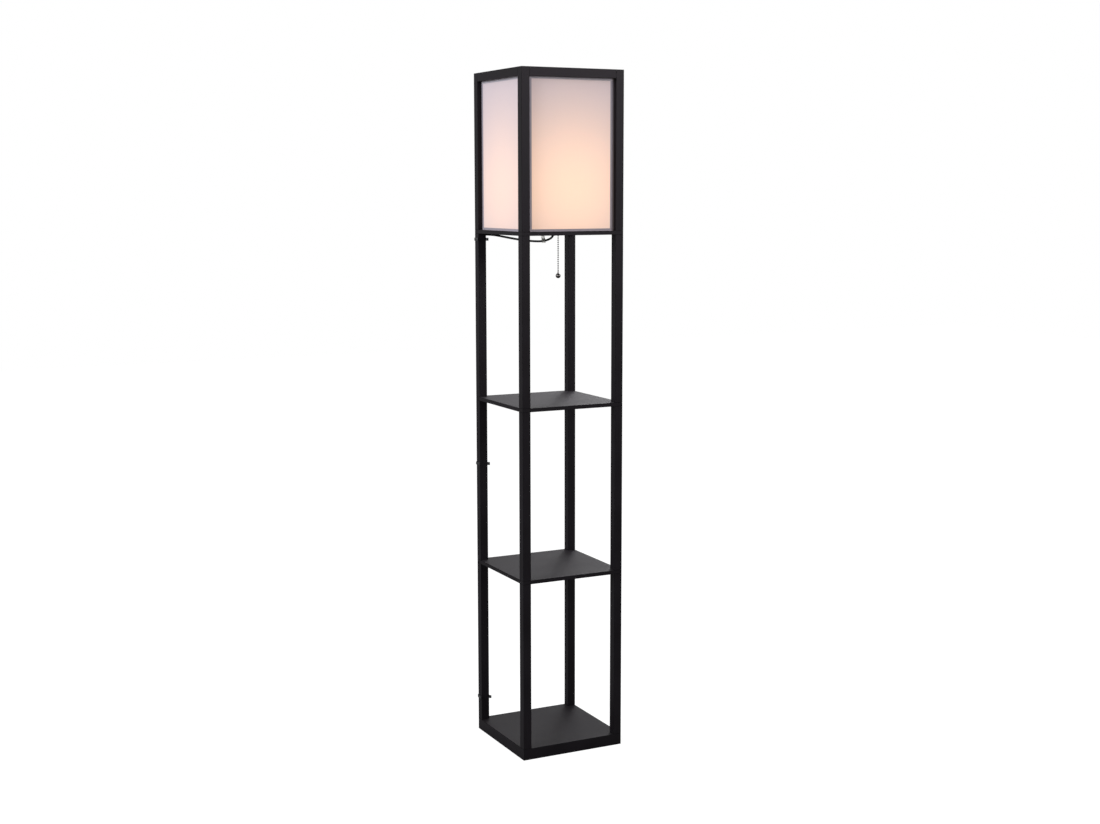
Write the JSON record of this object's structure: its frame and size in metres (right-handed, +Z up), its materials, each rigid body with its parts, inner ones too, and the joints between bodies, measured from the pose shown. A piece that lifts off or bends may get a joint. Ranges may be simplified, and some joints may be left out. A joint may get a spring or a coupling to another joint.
{
  "type": "shelf floor lamp",
  "caption": "Tall square floor lamp with open shelves between four slim posts, a fabric lamp box on top and a pull-chain switch below it.",
  "frame": {"origin": "on the floor, under the middle of the square base", "axes": "+Z up, +X right along the wide front as seen in the picture, +Y to the back; the cord runs down the post at -X +Y"},
  "size_m": [0.2645, 0.3031, 1.6],
  "materials": {
    "frame": "satin black paint on board",
    "shade_fabric": "off-white woven shade fabric",
    "shade_hem": "white board strip",
    "steel": "zinc plated",
    "dowel_wood": "raw beech",
    "brass": "bare brass",
    "black_plastic": "black phenolic",
    "holder_shell": "black moulded holder",
    "eyelet_metal": "nickel plated",
    "chain_metal": "nickel plated",
    "bulb_glass": "frosted white",
    "bulb_collar": "plain",
    "bulb_base": "black insulator",
    "clip_plastic": "black moulded",
    "nylon": "natural white nylon",
    "cord_vinyl": "black vinyl",
    "tie_plastic": "black paper-covered tie",
    "plug_vinyl": "black moulded vinyl",
    "blade_metal": "bare brass"
  },
  "bodies": {
    "lamp": {"base_block": "frame", "base_bolts": "steel", "board_clip_screw": "steel", "board_cord_clip": "nylon", "board_eyelet": "eyelet_metal", "chain_guide": "brass", "cord_bushing": "black_plastic", "cord_hank": "cord_vinyl", "cord_run": "cord_vinyl", "cord_tail": "cord_vinyl", "hank_tie": "tie_plastic", "lamp_board": "frame", "nipple": "brass", "nipple_nuts": "steel", "plug_blades": "blade_metal", "plug_body": "plug_vinyl", "post_cord_clips": "clip_plastic", "post_lamp_back_left": "frame", "post_lamp_back_right": "frame", "post_lamp_front_left": "frame", "post_lamp_front_right": "frame", "post_lower_back_left": "frame", "post_lower_back_right": "frame", "post_lower_front_left": "frame", "post_lower_front_right": "frame", "post_middle_back_left": "frame", "post_middle_back_right": "frame", "post_middle_front_left": "frame", "post_middle_front_right": "frame", "post_upper_back_left": "frame", "post_upper_back_right": "frame", "post_upper_front_left": "frame", "post_upper_front_right": "frame", "shade_hems": "shade_hem", "shade_panel_back": "shade_fabric", "shade_panel_front": "shade_fabric", "shade_panel_left": "shade_fabric", "shade_panel_right": "shade_fabric", "shelf_lower": "frame", "shelf_upper": "frame", "socket_cap": "holder_shell", "socket_contact": "brass", "socket_screw_shell": "brass", "socket_shell": "holder_shell", "studs_lamp_board": "steel", "studs_lower_shelf": "steel", "studs_upper_shelf": "steel", "switch_block": "black_plastic", "top_rail_back": "frame", "top_rail_dowels": "dowel_wood", "top_rail_front": "frame", "top_rail_left": "frame", "top_rail_right": "frame"},
    "chain_top": {"chain_upper": "chain_metal"},
    "chain_knuckle": {"chain_link": "chain_metal"},
    "chain_end": {"chain_lower": "chain_metal", "chain_ball": "chain_metal"},
    "bulb_rise": {"bulb_contact": "bulb_base"},
    "bulb": {"bulb_globe": "bulb_glass", "bulb_collar": "bulb_collar"}
  },
  "joints": [
    {"name": "chain_pull", "type": "slide", "parent": "lamp", "child": "chain_top", "axis": [0, 0, -1], "range_m": [0, 0.01], "stiffness_N_per_m": 400, "springref_m": -0.003},
    {"name": "chain_swing_x", "type": "hinge", "parent": "chain_top", "child": "chain_knuckle", "pos_m": [0.014, -0.025, 1.2215], "axis": [1, 0, 0], "range_deg": [-20, 20]},
    {"name": "chain_swing_y", "type": "hinge", "parent": "chain_knuckle", "child": "chain_end", "pos_m": [0.014, -0.025, 1.2215], "axis": [0, 1, 0], "range_deg": [-20, 20]},
    {"name": "bulb_lift", "type": "slide", "parent": "lamp", "child": "bulb_rise", "axis": [0, 0, 1], "range_m": [0, 0.0109]},
    {"name": "bulb_turn", "type": "hinge", "parent": "bulb_rise", "child": "bulb", "pos_m": [0.014, 0, 1.3], "axis": [0, 0, 1], "range_deg": [0, 1080]}
  ],
  "couplings": [
    {"joint": "bulb_lift", "follows": "bulb_turn", "m_per_rad": 0.0005775}
  ]
}
